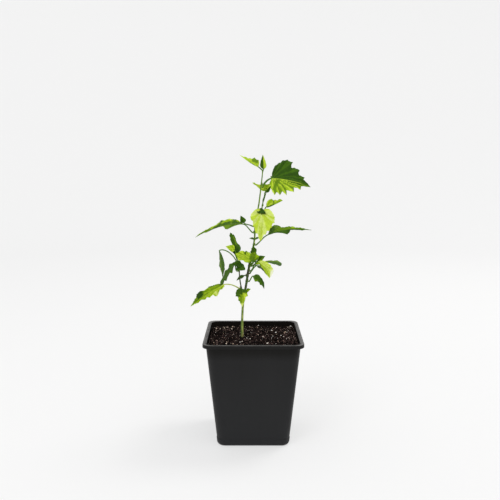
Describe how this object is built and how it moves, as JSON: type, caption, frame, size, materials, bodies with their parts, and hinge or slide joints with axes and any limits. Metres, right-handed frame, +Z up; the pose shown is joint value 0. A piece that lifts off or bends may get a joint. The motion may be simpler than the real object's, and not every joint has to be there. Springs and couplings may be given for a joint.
{
  "type": "potted shrub",
  "caption": "Young rose of sharon in a square black nursery pot: a slender leaning stem with side shoots and lobed, toothed leaves on long stalks.",
  "frame": {"origin": "centre of the pot's flat underside, on the surface it stands on", "axes": "+Z up along the plant, +X and +Y square to the pot's sides, -Y the front"},
  "size_m": [0.1092, 0.0912, 0.2674],
  "materials": {
    "pot_plastic": "satin",
    "potting_soil": "matte",
    "stem_bark": "satin",
    "leaf_dark": "satin",
    "leaf_light": "satin"
  },
  "bodies": {
    "root": {"pot": "pot_plastic", "potting_soil": "potting_soil", "main_stem": "stem_bark", "left_shoot": "stem_bark", "upper_shoot": "stem_bark", "tip_leaves": "leaf_light", "top_right_leaf": "leaf_dark", "upper_left_leaf": "leaf_light", "narrow_leaf": "leaf_dark", "upper_right_leaf": "leaf_light", "centre_leaf": "leaf_light", "left_long_leaf": "leaf_dark", "left_small_leaf": "leaf_dark", "right_long_leaf": "leaf_dark", "star_leaves": "leaf_dark", "front_leaf": "leaf_light", "front_dark_leaf": "leaf_dark", "left_crown": "leaf_dark", "arching_leaf": "leaf_dark", "drooping_leaf": "leaf_dark", "right_small_leaf": "leaf_dark", "right_far_leaf": "leaf_dark", "right_pale_leaf": "leaf_light", "low_right_leaf": "leaf_dark", "thin_leaf": "leaf_dark", "low_front_leaf": "leaf_light", "low_left_leaf": "leaf_light", "back_low_leaf": "leaf_dark", "back_left_leaf": "leaf_dark", "back_right_leaf": "leaf_dark", "back_centre_leaf": "leaf_dark", "back_top_leaf": "leaf_dark"}
  },
  "joints": []
}
